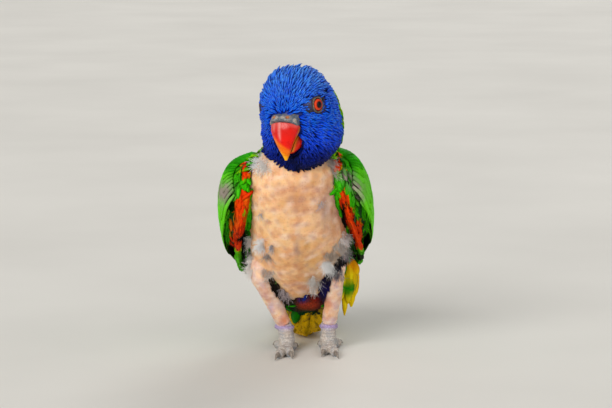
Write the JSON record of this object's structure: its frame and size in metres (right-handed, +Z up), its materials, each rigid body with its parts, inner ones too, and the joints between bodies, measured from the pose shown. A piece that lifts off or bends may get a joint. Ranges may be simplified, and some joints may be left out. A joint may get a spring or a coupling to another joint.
{
  "type": "lorikeet",
  "caption": "Life-size standing lorikeet with a blue head, hooked bill, folded wings, bare breast and legs, and a long pointed tail laid back.",
  "frame": {"origin": "middle of the bounding box on the floor under the bird", "axes": "the bird faces -Y, its left side is +X, its tail lies towards +Y, +Z is up"},
  "size_m": [0.0752, 0.2164, 0.1423],
  "materials": {
    "blue_plumage": "blue head feathers",
    "green_plumage": "green wing feathers",
    "tail_plumage": "green tail feathers",
    "covert_plumage": "olive and yellow feathers over and under the root of the tail",
    "flank_plumage": "yellow flank feathers with green tips",
    "bare_skin": "bare pinkish skin",
    "foot_scales": "grey scaled skin",
    "claw": "horn",
    "red_bill": "smooth red horn with an orange tip",
    "cere_skin": "grey skin round the nostrils",
    "eye": "wet dark eye with an orange-red ring"
  },
  "bodies": {
    "root": {"head": "blue_plumage", "neck": "bare_skin", "torso": "bare_skin", "cere": "cere_skin", "bill_upper": "red_bill", "bill_lower": "red_bill", "eye_left": "eye", "eye_right": "eye", "wing_left": "green_plumage", "wing_right": "green_plumage", "tail": "tail_plumage", "tail_coverts": "covert_plumage", "flank_feathers_left": "flank_plumage", "shin_left": "bare_skin", "shin_right": "bare_skin", "foot_left": "foot_scales", "foot_right": "foot_scales", "claw_inner_front_left": "claw", "claw_outer_front_left": "claw", "claw_outer_back_left": "claw", "claw_inner_back_left": "claw", "claw_inner_front_right": "claw", "claw_outer_front_right": "claw", "claw_outer_back_right": "claw", "claw_inner_back_right": "claw"}
  },
  "joints": []
}
